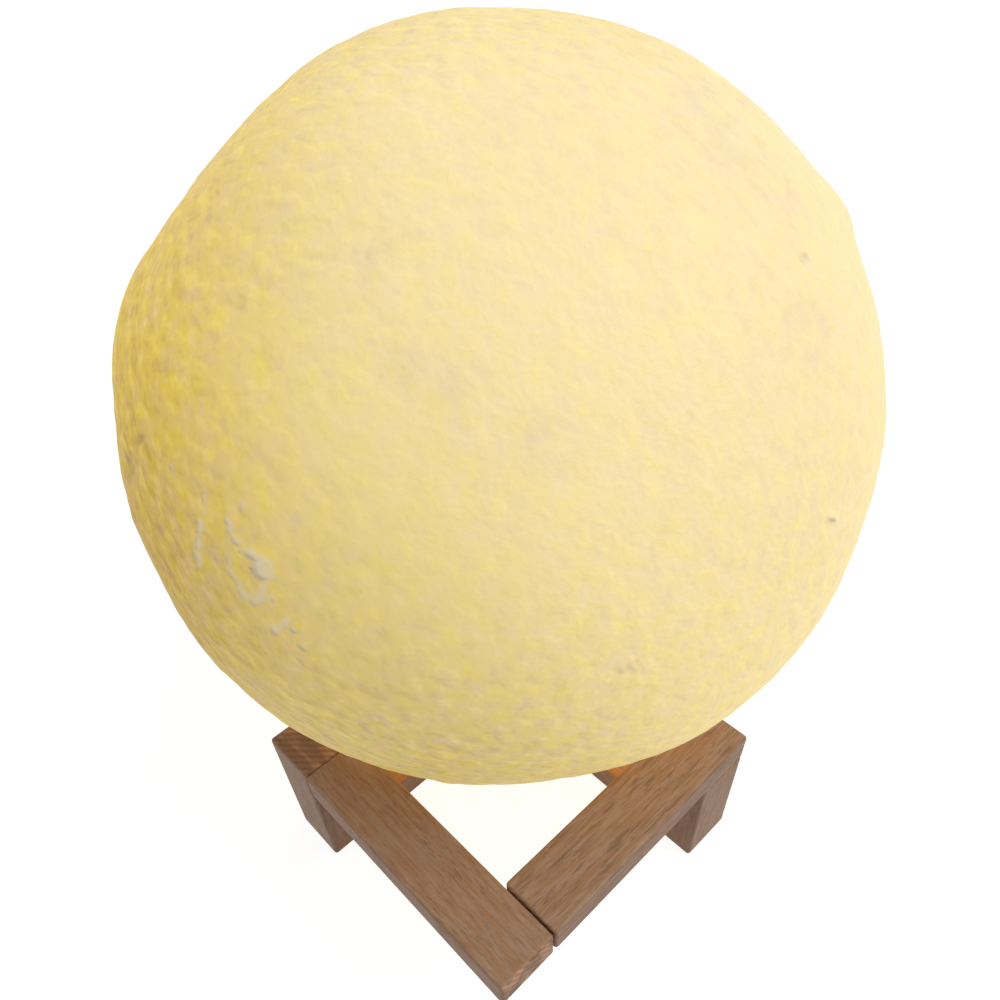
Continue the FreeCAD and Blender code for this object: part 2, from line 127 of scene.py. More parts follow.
def ball_point(across, down):
    """The point of the ball that a pixel of the photograph shows."""
    scale = SEEN_RADIUS / PICTURED_RADIUS
    right, above, back = camera_axes()
    across = (across - PICTURED_MIDDLE[0]) * scale + SEEN_MIDDLE[0]
    down = (down - PICTURED_MIDDLE[1]) * scale + SEEN_MIDDLE[1]
    ray = (right * (across - LENS_AXIS[0]) - above * (down - LENS_AXIS[1])
           - back * FOCAL_PIXELS)
    ray.normalize()
    to_ball = BALL_CENTRE - CAMERA_PLACE
    nearest = to_ball.dot(ray)
    miss = to_ball - ray * nearest
    depth = math.sqrt(max(BALL_RADIUS**2 - miss.length_squared, 0.0))
    outward = (ray * (nearest - depth) - to_ball).normalized()
    return BALL_CENTRE + outward * BALL_RADIUS


# ---- Settings a user would change --------------------------------------------------------

class BallSettings(bpy.types.PropertyGroup):
    """The printed ball's surface."""

    around: IntProperty(name="Around", description="Faces round the ball", default=350, min=60)
    upwards: IntProperty(name="Upwards", description="Faces from rim to top",
                         default=172, min=30)
    swell_size: FloatProperty(name="Swell size", description="Width of the broad swells",
                              default=0.030, unit="LENGTH")
    swell_depth: FloatProperty(name="Swell depth", description="Height of the broad swells",
                               default=0.0012, unit="LENGTH")
    pebble_size: FloatProperty(name="Pebble size", description="Width of the pebbles",
                               default=0.0046, unit="LENGTH")
    pebble_depth: FloatProperty(name="Pebble depth", description="Height of the pebbles",
                                default=0.00040, unit="LENGTH")
    pit_size: FloatProperty(name="Pit size", description="Spacing of the pits",
                            default=0.0075, unit="LENGTH")
    pit_depth: FloatProperty(name="Pit depth", description="Depth of the pits",
                             default=0.0004, unit="LENGTH")
    seed: FloatProperty(name="Seed", description="Picks another surface", default=3.0)


class ColourSettings(bpy.types.PropertyGroup):
    """The lamp's main colours."""

    glow: FloatVectorProperty(name="Glow", description="Light through the ball's wall",
                              subtype="COLOR", size=3, default=(0.678, 0.517, 0.144))
    glow_left: FloatVectorProperty(name="Left glow", description="Light on the left side",
                                   subtype="COLOR", size=3, default=(0.585, 0.395, 0.012))
    glow_low: FloatVectorProperty(name="Low glow", description="Light on the lower side",
                                  subtype="COLOR", size=3, default=(0.496, 0.359, 0.090))
    glow_corner: FloatVectorProperty(name="Corner glow", description="Light low on the left",
                                     subtype="COLOR", size=3, default=(0.360, 0.215, 0.005))
    print_white: FloatVectorProperty(name="Print", description="The printed plastic, unlit",
                                     subtype="COLOR", size=3, default=(0.28, 0.27, 0.28))
    # A shaded copy of the print, for painted shade on the ball's dim side.
    print_shaded: FloatVectorProperty(name="Shaded print", description="The dim side, unlit",
                                      subtype="COLOR", size=3, default=(0.075, 0.070, 0.055))
    lump_glow: FloatVectorProperty(name="Lump glow", description="Light through a thick lump",
                                   subtype="COLOR", size=3, default=(0.43, 0.35, 0.17))
    lump_white: FloatVectorProperty(name="Lump", description="A thick lump, unlit",
                                    subtype="COLOR", size=3, default=(0.27, 0.255, 0.28))
    beech: FloatVectorProperty(name="Beech", description="The wood between its flecks",
                               subtype="COLOR", size=3, default=(0.322, 0.202, 0.134))
    beech_warm: FloatVectorProperty(name="Warm beech", description="The wood's warmer bands",
                                    subtype="COLOR", size=3, default=(0.295, 0.158, 0.084))
    fleck: FloatVectorProperty(name="Fleck", description="The wood's dark flecks",
                               subtype="COLOR", size=3, default=(0.115, 0.060, 0.034))
    end_grain: FloatVectorProperty(name="End grain", description="The wood across the grain",
                                   subtype="COLOR", size=3, default=(0.245, 0.130, 0.072))


class StageSettings(bpy.types.PropertyGroup):
    """The floor and the light."""

    floor_size: FloatProperty(name="Floor", description="Side of the floor",
                              default=6.0, unit="LENGTH")
    key_power: FloatProperty(name="Key light", description="Main softbox", default=8.0)
    fill_power: FloatProperty(name="Fill light", description="Softbox on the left", default=1.0)
    sky: FloatProperty(name="Room light", description="Even light from all round", default=0.62)


# ---- Node trees written as sums ----------------------------------------------------------

class Value:
    """A node's output that can be added, multiplied and compared like a number."""

    def __init__(self, nodes, socket):
        self.nodes = nodes
        self.socket = socket

    def math(self, operation, first, second=0.0):
        return self.nodes.node("ShaderNodeMath", {"operation": operation},
                               {0: first, 1: second})

    def __add__(self, other):
        return self.math("ADD", self, other)

    def __radd__(self, other):
        return self.math("ADD", other, self)

    def __sub__(self, other):
        return self.math("SUBTRACT", self, other)

    def __rsub__(self, other):
        return self.math("SUBTRACT", other, self)

    def __mul__(self, other):
        return self.math("MULTIPLY", self, other)

    def __rmul__(self, other):
        return self.math("MULTIPLY", other, self)

    def __truediv__(self, other):
        return self.math("DIVIDE", self, other)

    def __rtruediv__(self, other):
        return self.math("DIVIDE", other, self)

    def __abs__(self):
        return self.math("ABSOLUTE", self)

    def between(self, low, high):
        """0 below low and 1 above high, smooth between them."""
        return self.nodes.node(
            "ShaderNodeMapRange", {"interpolation_type": "SMOOTHSTEP"},
            {"Value": self, "From Min": low, "From Max": high}, "Result")


class Nodes:
    """Adds nodes to a tree."""

    def __init__(self, tree):
        self.tree = tree

    def node(self, kind, settings=None, inputs=None, output=0):
        """One node: its settings first, then its sockets, then the output that is wanted."""
        made = self.tree.nodes.new(kind)
        for name, value in (settings or {}).items():
            setattr(made, name, value)
        for key, value in (inputs or {}).items():
            self.feed(made.inputs[key], value)
        return Value(self, made.outputs[output])

    def feed(self, socket, value):
        """Link a value to a socket, or set the socket."""
        if isinstance(value, Value):
            self.tree.links.new(value.socket, socket)
        else:
            socket.default_value = value

    def noise(self, where, size, detail=2.0, roughness=0.5, distortion=0.0):
        """Noise of about this feature size, from 0 to 1."""
        return self.node("ShaderNodeTexNoise", {}, {
            "Vector": where, "Scale": 1 / size, "Detail": detail,
            "Roughness": roughness, "Distortion": distortion}, "Fac")

    def cells(self, where, size, feature="F1", smoothness=None):
        """The distance from the middle of the nearest cell, in cell sizes."""
        inputs = {"Vector": where, "Scale": 1 / size}
        if smoothness is not None:
            inputs["Smoothness"] = smoothness
        return self.node("ShaderNodeTexVoronoi", {"feature": feature}, inputs, "Distance")

    def colours(self, factor, first, second, blend="MIX"):
        """Mix two colours."""
        return self.node("ShaderNodeMix", {"data_type": "RGBA", "blend_type": blend},
                         {0: factor, 6: first, 7: second}, 2)

    def tint(self, colour, factors):
        """A colour with each channel multiplied by its own factor."""
        return self.node("ShaderNodeVectorMath", {"operation": "MULTIPLY"},
                         {0: colour, 1: factors}, "Vector")

    def tinted(self, colour, amount, factors):
        """A colour that goes over to its tint as the amount goes from 0 to 1."""
        return self.colours(amount, colour, self.tint(colour, factors))

    def shift(self, colour, amount, change):
        """A colour with a fixed change added, times an amount, and none of it below 0."""
        moved = self.node("ShaderNodeVectorMath", {"operation": "MULTIPLY_ADD"},
                          {0: amount, 1: change, 2: colour}, "Vector")
        return self.node("ShaderNodeVectorMath", {"operation": "MAXIMUM"},
                         {0: moved, 1: (0, 0, 0)}, "Vector")

    def dot(self, vector, direction):
        """How far a vector reaches along a fixed direction."""
        return self.node("ShaderNodeVectorMath", {"operation": "DOT_PRODUCT"},
                         {0: vector, 1: direction}, "Value")


def material(name):
    """An empty material with one Principled shader, as its nodes and that shader."""
    made = bpy.data.materials.new(name)
    made.use_nodes = True
    made.node_tree.nodes.clear()
    nodes = Nodes(made.node_tree)
    shader = made.node_tree.nodes.new("ShaderNodeBsdfPrincipled")
    output = made.node_tree.nodes.new("ShaderNodeOutputMaterial")
    made.node_tree.links.new(shader.outputs["BSDF"], output.inputs["Surface"])
    return made, nodes, shader


def object_millimetres(nodes, location=(0, 0, 0), rotation=(0, 0, 0), scale=(1, 1, 1)):
    """Object coordinates in millimetres, moved, turned and then stretched."""
    coordinates = nodes.node("ShaderNodeTexCoord", output="Object")
    return nodes.node("ShaderNodeMapping", {"vector_type": "POINT"}, {
        "Vector": coordinates, "Location": location, "Rotation": rotation,
        "Scale": [1000 * part for part in scale]})


def bump(nodes, shader, height, distance, strength=1.0):
    """Raise the shader's surface by a height from 0 to 1, times a distance in metres."""
    normal = nodes.node("ShaderNodeBump", {}, {
        "Height": height, "Distance": distance, "Strength": strength}, "Normal")
    nodes.feed(shader.inputs["Normal"], normal)


def solid(colour):
    return (*colour, 1.0)


# ---- The printed ball --------------------------------------------------------------------

# Raised lumps and ridges and sunken pits and creases on the ball: the pixels of the
# photograph that each one runs through, its half-width in pixels and its height in mm.
MARKS = [
    ([(213, 474), (211, 484), (209, 496)], 3.4, 0.32), ([(217, 485), (230, 486)], 3.0, 0.15),
    ([(247, 487)], 5.0, 0.42), ([(187, 488)], 4.4, 0.28), ([(184, 499), (182, 509)], 3.8, 0.25),
    ([(188, 537)], 3.5, 0.22), ([(205, 503), (206, 511)], 5.4, 0.52),
    ([(204, 520), (205, 526)], 4.8, 0.45), ([(205, 534), (206, 545)], 4.8, 0.46),
    ([(212, 556), (218, 562)], 4.0, 0.20), ([(223, 538)], 4.6, 0.28),
    ([(232, 504), (235, 512)], 5.6, 0.52), ([(241, 521)], 5.6, 0.50),
    ([(246, 530)], 4.6, 0.36), ([(257, 535), (262, 541)], 7.0, 0.62),
    ([(265, 545), (270, 553)], 9.0, 0.85),
    ([(233, 541), (238, 553), (244, 565)], 5.2, 0.34), ([(238, 552)], 6.0, 0.40),
    ([(246, 570), (252, 577)], 6.0, 0.42), ([(258, 580), (266, 577), (269, 566)], 6.2, 0.44),
    ([(277, 578)], 5.0, 0.35), ([(254, 556)], 5.5, -0.25),
    ([(279, 610), (284, 605)], 5.0, 0.44), ([(290, 602)], 6.0, 0.52), ([(297, 609)], 4.8, 0.46),
    ([(308, 625)], 5.4, 0.46), ([(288, 628), (303, 638), (318, 649)], 3.0, 0.14),
    ([(320, 485)], 7.0, 0.20), ([(302, 541), (303, 549)], 3.4, 0.18), ([(302, 562)], 5.0, 0.14),
    ([(388, 608)], 5.0, 0.22), ([(620, 648)], 6.5, 0.36), ([(629, 644)], 6.5, 0.40),
    ([(637, 637)], 4.5, 0.26), ([(606, 655)], 5.0, 0.16), ([(828, 500)], 5.0, 0.42),
    ([(816, 499)], 4.0, 0.20), ([(798, 245)], 5.0, -0.34),
    ([(144, 424)], 4.6, -0.60), ([(134, 440), (135, 456)], 5.4, -0.45),
    ([(178, 450)], 4.0, 0.32), ([(157, 381)], 4.5, -0.32), ([(146, 330)], 4.5, -0.30),
    ([(205, 347)], 4.0, 0.24),
    ([(216, 180)], 4.4, -0.34), ([(224, 208)], 4.4, 0.30), ([(229, 218)], 3.6, -0.22),
    ([(242, 285), (243, 294)], 4.0, -0.34), ([(366, 236), (367, 241)], 4.2, -0.20),
    ([(302, 240), (318, 243), (336, 244)], 5.5, -0.16),
    ([(297, 252), (318, 255), (338, 253)], 4.5, 0.12),
    ([(380, 217), (362, 234), (347, 248)], 4.5, -0.13),
]
MARK_POWER = 2.2  # how steeply a mark falls away
EDGE_STEP = (-2.6, 2.6)  # pixels from a lump to its lower left edge, which gets painted shade while the edge across from it gets painted light
EDGE_FADE = 0.1  # how squarely the camera must face a point to show its marks in full

# Where the ball's mesh is made finer for its marks: the pixel, then the reach in mm.
FINE = [((235, 545), 27.0), ((625, 645), 7.0), ((828, 500), 4.0), ((798, 245), 3.0),
        ((318, 247), 6.0), ((362, 234), 6.0), ((140, 435), 6.0)]
FINER_CUTS = 3

# Broad flats and swells of the outline: the turn round the outline in degrees, from the
# right and anticlockwise, then radius in mm and height in mm.
SWELLS = [
    (142, 20.0, -1.9), (167, 13.0, 1.2), (29, 5.5, 1.0), (66, 12.0, 0.5), (208, 8.0, -0.5),
    (231, 8.0, -0.7), (252, 20.0, -1.0), (277, 22.0, -1.9), (340, 14.0, -0.5),
]
SWELL_POWER = 2.5

# Grey stains under the skin: across, down and radius in pixels.
STAINS = [
    (690, 92, 26), (712, 118, 30), (742, 150, 34), (768, 185, 28), (806, 300, 24),
    (800, 330, 22), (375, 238, 24), (415, 350, 26), (540, 420, 34), (450, 380, 28),
]
STAIN_POWER = 2

INNER_ROWS = 12  # rings of faces on the inside of the ball's wall


def ball_profile(settings):
    """The ball's outline from its top pole down to the rim, in through the opening and back
    up inside the wall, as (radius, height, skin): skin is 1 where the surface is printed
    relief and 0 where it is plain."""
    rim_angle = math.acos((BALL_CENTRE.z - RIM_Z) / BALL_RADIUS)
    outline = []
    for step in range(1, settings.upwards + 1):
        angle = math.pi - (math.pi - rim_angle) * step / settings.upwards
        from_rim = (angle - rim_angle) * BALL_RADIUS
        skin = min(1.0, from_rim / SKIN_FADE)
        outline.append((BALL_RADIUS * math.sin(angle),
                        BALL_CENTRE.z - BALL_RADIUS * math.cos(angle), skin))
    inner = BALL_RADIUS - SHELL_WALL
    outline.append((OPENING_RADIUS, RIM_Z, 0))
    start = math.asin(OPENING_RADIUS / inner)
    for step in range(INNER_ROWS):
        angle = start + (math.pi - start) * step / INNER_ROWS
        outline.append((inner * math.sin(angle), BALL_CENTRE.z - inner * math.cos(angle), 0))
    return outline


def ball_mesh(settings):
    """The plain ball, finer where the lumps are, with its skin kept on the points."""
    outline = ball_profile(settings)
    around = settings.around
    mesh = bpy.data.meshes.new("printed_ball")
    build = bmesh.new()
    skin = build.verts.layers.float.new("skin")
    turns = [2 * math.pi * step / around for step in range(around)]
    rings = []
    for radius, height, cover in outline:
        ring = []
        for turn in turns:
            point = build.verts.new((radius * math.cos(turn), radius * math.sin(turn), height))
            point[skin] = cover
            ring.append(point)
        rings.append(ring)
    top = build.verts.new((0, 0, BALL_CENTRE.z + BALL_RADIUS))
    top[skin] = 1.0
    inside_top = build.verts.new((0, 0, BALL_CENTRE.z + BALL_RADIUS - SHELL_WALL))
    for step in range(around):
        after = (step + 1) % around
        build.faces.new((top, rings[0][step], rings[0][after]))
        build.faces.new((inside_top, rings[-1][after], rings[-1][step]))
        for upper, lower in zip(rings, rings[1:]):
            build.faces.new((upper[step], lower[step], lower[after], upper[after]))
    places = [(ball_point(*pixel), reach * MM) for pixel, reach in FINE]
    near = [edge for edge in build.edges
            if any((edge.verts[0].co - middle).length < reach
                   and (edge.verts[1].co - middle).length < reach
                   for middle, reach in places)]
    bmesh.ops.subdivide_edges(build, edges=near, cuts=FINER_CUTS, use_grid_fill=True)
    bmesh.ops.triangulate(build, faces=[face for face in build.faces if len(face.verts) > 4])
    build.to_mesh(mesh)
    build.free()
    return mesh


def falloff(distance, radius, power):
    return np.exp(-((distance / radius) ** power))


def marked(pixels):
    """The height in mm of the lumps, ridges and pits at these pixels of the photograph. A
    small wobble keeps their outlines uneven."""
    height = np.zeros(len(pixels))
    across, down = pixels[:, 0], pixels[:, 1]
    wobble = [1.1 * np.sin(down / 2.9) + 0.8 * np.sin(across / 4.3 + down / 6.1),
              1.1 * np.sin(across / 3.3) + 0.8 * np.sin(down / 4.7)]
    pixels = pixels + np.stack(wobble, axis=1)
    for points, half_width, rise in MARKS:
        points = [np.array(point, dtype=float) for point in points]
        distance = np.linalg.norm(pixels - points[0], axis=1)
        for start, end in zip(points, points[1:]):
            along = end - start
            share = np.clip((pixels - start) @ along / (along @ along), 0, 1)
            gap = np.linalg.norm(pixels - start - share[:, None] * along, axis=1)
            distance = np.minimum(distance, gap)
        mark = rise * falloff(distance, half_width, MARK_POWER)
        height = np.where(np.abs(mark) > np.abs(height), mark, height)
    return height


def add_marks(mesh):
    """Keep the ball's lumps, their lower left edges, its swells and its stains on its
    points. The edges carry painted shade on a lump's lower left side and painted light on
    its upper right side."""
    count = len(mesh.vertices)
    place = np.empty(count * 3)
    mesh.vertices.foreach_get("co", place)
    place = place.reshape(-1, 3)
    skin = np.empty(count)
    mesh.attributes["skin"].data.foreach_get("value", skin)
    pixels, facing = photo_pixels(place)
    shown = skin * np.clip(facing / EDGE_FADE, 0, 1)
    lumps = marked(pixels)
    edges = lumps - marked(pixels + np.array(EDGE_STEP))
    swells = np.zeros(count)
    for turn, radius, height in SWELLS:
        angle = math.radians(turn)
        middle = np.array(ball_point(PICTURED_MIDDLE[0] + PICTURED_RADIUS * math.cos(angle),
                                     PICTURED_MIDDLE[1] - PICTURED_RADIUS * math.sin(angle)))
        distance = np.linalg.norm(place - middle, axis=1)
        swells += height * MM * falloff(distance, radius * MM, SWELL_POWER)
    stains = np.zeros(count)
    for across, down, radius in STAINS:
        distance = np.linalg.norm(pixels - np.array([across, down]), axis=1)
        stains = np.maximum(stains, falloff(distance, radius, STAIN_POWER))
    for name, values in (("lumps", lumps * shown), ("edges", edges * shown),
                         ("swells", swells * skin), ("stains", stains * shown)):
        attribute = mesh.attributes.new(name, "FLOAT", "POINT")
        attribute.data.foreach_set("value", values.astype(np.float32))


RELIEF_INPUTS = [
    ("Swell Size", "swell_size"), ("Swell Depth", "swell_depth"),
    ("Pebble Size", "pebble_size"), ("Pebble Depth", "pebble_depth"),
    ("Pit Size", "pit_size"), ("Pit Depth", "pit_depth"), ("Seed", "seed"),
]


def relief_tree(finish):
    """Geometry nodes that push the ball's skin in and out: swells, pebbles, pits and lumps."""
    tree = bpy.data.node_groups.new("PrintedRelief", "GeometryNodeTree")
    tree.interface.new_socket("Geometry", in_out="INPUT", socket_type="NodeSocketGeometry")
    for name, _ in RELIEF_INPUTS:
        tree.interface.new_socket(name, in_out="INPUT", socket_type="NodeSocketFloat")
    tree.interface.new_socket("Geometry", in_out="OUTPUT", socket_type="NodeSocketGeometry")
    nodes = Nodes(tree)
    entry = tree.nodes.new("NodeGroupInput")
    given = {socket.name: Value(nodes, socket) for socket in entry.outputs if socket.name}
    place = nodes.node("GeometryNodeInputPosition")

    def attribute(name):
        return nodes.node("GeometryNodeInputNamedAttribute", {"data_type": "FLOAT"},
                          {"Name": name}, "Attribute")

    def noise(size, detail, roughness, shift):
        return nodes.node("ShaderNodeTexNoise", {"noise_dimensions": "4D"}, {
            "Vector": place, "W": given["Seed"] + shift, "Scale": 1 / size,
            "Detail": detail, "Roughness": roughness}, 0) - 0.5

    swell = noise(given["Swell Size"], 2.0, 0.5, 0.0) * given["Swell Depth"]
    pebbles = noise(given["Pebble Size"], 3.0, 0.55, 5.0) * 2 * given["Pebble Depth"]
    patches = noise(given["Swell Size"] * 0.7, 2.0, 0.5, 9.0).between(-0.10, 0.14)
    gap = nodes.node("ShaderNodeTexVoronoi",
                     {"voronoi_dimensions": "4D", "feature": "SMOOTH_F1"},
                     {"Vector": place, "W": given["Seed"], "Scale": 1 / given["Pit Size"],
                      "Smoothness": 0.35}, "Distance")
    pits = (1 - gap.between(0.05, 0.55)) * given["Pit Depth"] * (0.35 + patches)
    height = (swell + pebbles - pits) * attribute("skin") + attribute("lumps") * MM
    height = height + attribute("swells")
    outward = nodes.node("ShaderNodeVectorMath", {"operation": "SUBTRACT"},
                         {0: place, 1: BALL_CENTRE}, "Vector")
    outward = nodes.node("ShaderNodeVectorMath", {"operation": "NORMALIZE"}, {0: outward},
                         "Vector")
    offset = nodes.node("ShaderNodeVectorMath", {"operation": "SCALE"},
                        {0: outward, "Scale": height}, "Vector")
    relief = (pebbles - pits) * attribute("skin") / MM
    kept = nodes.node("GeometryNodeStoreNamedAttribute", {"data_type": "FLOAT"},
                      {"Geometry": given["Geometry"], "Name": "relief", "Value": relief},
                      "Geometry")
    moved = nodes.node("GeometryNodeSetPosition", {}, {"Geometry": kept, "Offset": offset},
                       "Geometry")
    real = nodes.node("GeometryNodeRealizeInstances", {}, {"Geometry": moved}, "Geometry")
    painted = nodes.node("GeometryNodeSetMaterial", {}, {"Geometry": real, "Material": finish},
                         "Geometry")
    leave = tree.nodes.new("NodeGroupOutput")
    tree.links.new(painted.socket, leave.inputs["Geometry"])
    return tree


def baked(source, tree, values):
    """Run a node tree on an object and give back a plain object of the same name."""
    modifier = source.modifiers.new("rule", "NODES")
    modifier.node_group = tree
    for item in tree.interface.items_tree:
        if item.in_out == "INPUT" and item.name in values:
            modifier[item.identifier] = values[item.name]
    graph = bpy.context.evaluated_depsgraph_get()
    mesh = bpy.data.meshes.new_from_object(source.evaluated_get(graph))
    source.modifiers.remove(modifier)
    old = source.data
    source.data = mesh
    bpy.data.meshes.remove(old)
    return source


# The printed wall's small pattern, in mm: the pebbles, the domes among them and the pits.
PEBBLE_NOISE = (3.9, 2.2, 0.5)
DOME_SIZE = 3.3
DOME_SHARE = 0.42
PIT_NOISE = (3.1, 1.8, 0.5)
SLOPE_STEP = 0.7  # how far apart two looks at the pebbles are, for their slope, which paints light and shade on them
CONTRAST = 10  # brings the pattern's small differences to about 1
WARM_BAND = 34  # height in mm above the rim where the lamp's own warm light ends

# Where the ball's light and roughness change, as the photograph shows it: a direction across
# the photograph in degrees, from the right and anticlockwise, then how far along it, in
# radii from the ball's middle, the change begins and ends.
SHADED_SIDE = (210, -0.14, 0.86)
LEFT_SIDE = (164, 0.17, 0.79)
LOW_SIDE = (237, 0.24, 0.92)
TOP_SIDE = (92, 0.42, 0.85)
ROUGH_LEFT = (160, 0.10, 0.85)
ROUGH_TOP = (85, 0.35, 0.75)
ROUGH_LOW_RIGHT = (295, 0.30, 0.70)


def ball_finish(colours):
    """Printed white plastic with a warm light behind it: paler and greyer where it is thick,
    yellower where it is thin, dimmer on the lower left of the photograph, and bright and
    warm round the base, where the lamp is near. The dimming on the lower left is partly the
    lamp's own light and partly painted shade. The darker top and the shaded copy of the
    unlit colour are painted shade, and the pebbles and lumps carry painted light and shade."""
    made, nodes, shader = material("glowing_print")
    where = object_millimetres(nodes)

    def kept(name):
        return nodes.node("ShaderNodeAttribute", {"attribute_name": name}, output="Fac")

    middle = nodes.node("ShaderNodeVectorMath", {"operation": "SUBTRACT"},
                        {0: where, 1: BALL_CENTRE / MM}, "Vector")
    radius = BALL_RADIUS / MM

    def side(degrees, begins, ends):
        return (nodes.dot(middle, sideways(degrees)) / radius).between(begins, ends)

    shaded = side(*SHADED_SIDE)
    left = side(*LEFT_SIDE)
    below = side(*LOW_SIDE)
    top = side(*TOP_SIDE)
    height = nodes.dot(where, (0, 0, 1)) - RIM_Z / MM
    low = (WARM_BAND - height).between(0, WARM_BAND)

    def pebbles(shift):
        moved = nodes.node("ShaderNodeVectorMath", {"operation": "ADD"},
                           {0: where, 1: sideways(225) * shift}, "Vector")
        return (nodes.noise(moved, *PEBBLE_NOISE)
                + DOME_SHARE * nodes.cells(moved, DOME_SIZE, "SMOOTH_F1", 0.25))

    rough = 0.62 + 0.62 * side(*ROUGH_LEFT)
    rough = rough + 0.40 * (side(*ROUGH_TOP) + side(*ROUGH_LOW_RIGHT))
    # Painted light and shade on the pebbles: each is lighter on one side and darker on the
    # other, as if lit from one direction.
    slope = (pebbles(0.0) - pebbles(SLOPE_STEP)) * CONTRAST
    crests = slope.between(0.30, 1.4) - (0 - slope).between(0.30, 1.4)
    pebble_light_and_shade = (crests * 1.1 + slope * 0.5) * rough
    pits = (nodes.noise(where, *PIT_NOISE) - 0.5) * CONTRAST * rough
    thick = kept("relief")
    lumps = kept("lumps")
    raised = lumps.between(0.08, 0.55)
    sunk = (0 - lumps).between(0.02, 0.60)
    # Painted shade on each lump's lower left edge and painted light on its upper right edge.
    edges = kept("edges")
    under = edges.between(0.04, 0.34)
    over = (0 - edges).between(0.04, 0.30)
    patches = nodes.noise(where, 17, 4.0, 0.6).between(0.50, 0.78)
    stains = kept("stains") * nodes.noise(where, 5, 3.0, 0.6).between(0.25, 0.7)

    # The glow dims towards the lower left and at the top: partly the lamp's own light, partly
    # painted shade.
    glow = nodes.colours(
        below, nodes.colours(left, solid(colours.glow), solid(colours.glow_left)),
        nodes.colours(left, solid(colours.glow_low), solid(colours.glow_corner)))
    glow = nodes.tinted(glow, top, (0.92, 0.91, 0.76))
    glow = nodes.shift(glow, pebble_light_and_shade, (0.036, 0.030, 0.006))
    glow = nodes.shift(glow, pits, (-0.004, -0.006, 0.024))
    glow = nodes.shift(glow, thick, (-0.030, -0.025, 0.020))
    glow = nodes.tinted(glow, patches * 0.25, (0.93, 0.92, 1.15))
    glow = nodes.tinted(glow, stains * 0.85, (0.86, 0.85, 1.02))
    glow = nodes.colours(raised * 0.80, glow, solid(colours.lump_glow))
    # sunk greys the pits, under and over paint shade and light on the lump edges, low warms the
    # band round the base.
    for amount, factors in ((sunk * 0.75, (0.66, 0.66, 1.4)), (over * 0.6, (1.12, 1.08, 0.5)),
                            (under * 0.9, (0.62, 0.58, 0.5)), (low, (4.2, 2.9, 1.45))):
        glow = nodes.tinted(glow, amount, factors)
    nodes.feed(shader.inputs["Emission Color"], glow)
    shader.inputs["Emission Strength"].default_value = 1.0

    # Painted shade: the unlit colour turns to its shaded copy towards the lower left and
    # darkens at the top.
    base = nodes.colours(shaded, solid(colours.print_white), solid(colours.print_shaded))
    base = nodes.tinted(base, top, (0.92, 0.90, 0.80))
    base = nodes.colours(raised * 0.8, base, solid(colours.lump_white))
    base = nodes.tinted(base, sunk * 0.5, (0.7, 0.7, 0.8))
    nodes.feed(shader.inputs["Base Color"], base)
    fine = nodes.noise(where, 2.2, 3.0, 0.6)
    nodes.feed(shader.inputs["Roughness"], 0.5 + 0.25 * fine)
    shader.inputs["Specular IOR Level"].default_value = 0.3
    grains = nodes.noise(where, 1.6, 3.0, 0.65)
    bump(nodes, shader, 0.3 * grains + 0.9 * pebbles(0.0), MM, 0.8)
    return made


class MOONLAMP_OT_ball(bpy.types.Operator):
    """Build the printed ball, with its relief, in place of the plain shell"""

    bl_idname = "moonlamp.ball"
    bl_label = "Printed Ball"

    def execute(self, context):
        settings = context.scene.moonlamp_ball
        mesh = ball_mesh(settings)
        add_marks(mesh)
        piece = bpy.data.objects.new("printed_ball", mesh)
        context.scene.collection.objects.link(piece)
        finish = ball_finish(context.scene.moonlamp_colours)
        values = {name: getattr(settings, key) for name, key in RELIEF_INPUTS}
        piece = baked(piece, relief_tree(finish), values)
        piece.data.polygons.foreach_set("use_smooth", [True] * len(piece.data.polygons))
        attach(piece, "moon")
        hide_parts("moon_shell")
        return {"FINISHED"}


# ---- The beech stand ---------------------------------------------------------------------

# Each stick of the stand: the axis that its grain follows, a shift that gives it its own
# figure, and how strongly streaked it is.
STICKS = {
    "front_right_bar": ("X", (31, 7, 5), 1.0),
    "front_left_bar": ("Y", (3, 61, 17), 0.35),
    "rear_left_bar": ("X", (83, 27, 45), 0.6),
    "rear_right_bar": ("Y", (43, 11, 77), 0.4),
    "front_right_post": ("Z", (5, 9, 13), 0.4),
    "front_left_post": ("Z", (63, 39, 21), 0.6),
    "rear_left_post": ("Z", (25, 59, 93), 0.5),
    "rear_right_post": ("Z", (75, 19, 37), 0.4),
    "lower_rail": ("Y", (15, 71, 29), 0.4),
    "upper_rail": ("X", (57, 35, 67), 0.4),
    "dowel_pins": ("Z", (9, 9, 9), 0.3),
}
ALONG = {"X": 0, "Y": 1, "Z": 2}

# The wood's patterns: how much longer than wide they are along the grain, then their width
# in mm, detail, roughness and distortion.
FIBRES = (16, 0.50, 4.0, 0.65)
FLECKS = (7, 0.42, 2.0, 0.5)
FLECK_PATCHES = (3, 6.0, 2.0, 0.5)
WARM_BANDS = (10, 0.9, 3.0, 0.6)
STREAKS = (9, 0.85, 3.0, 0.6, 0.6)
END_EDGE = (0.1, 0.6)  # mm from a stick's end where the end grain gives way to the sides
RING_SHARE = 2.3  # how much paler the early wood of a year's ring is


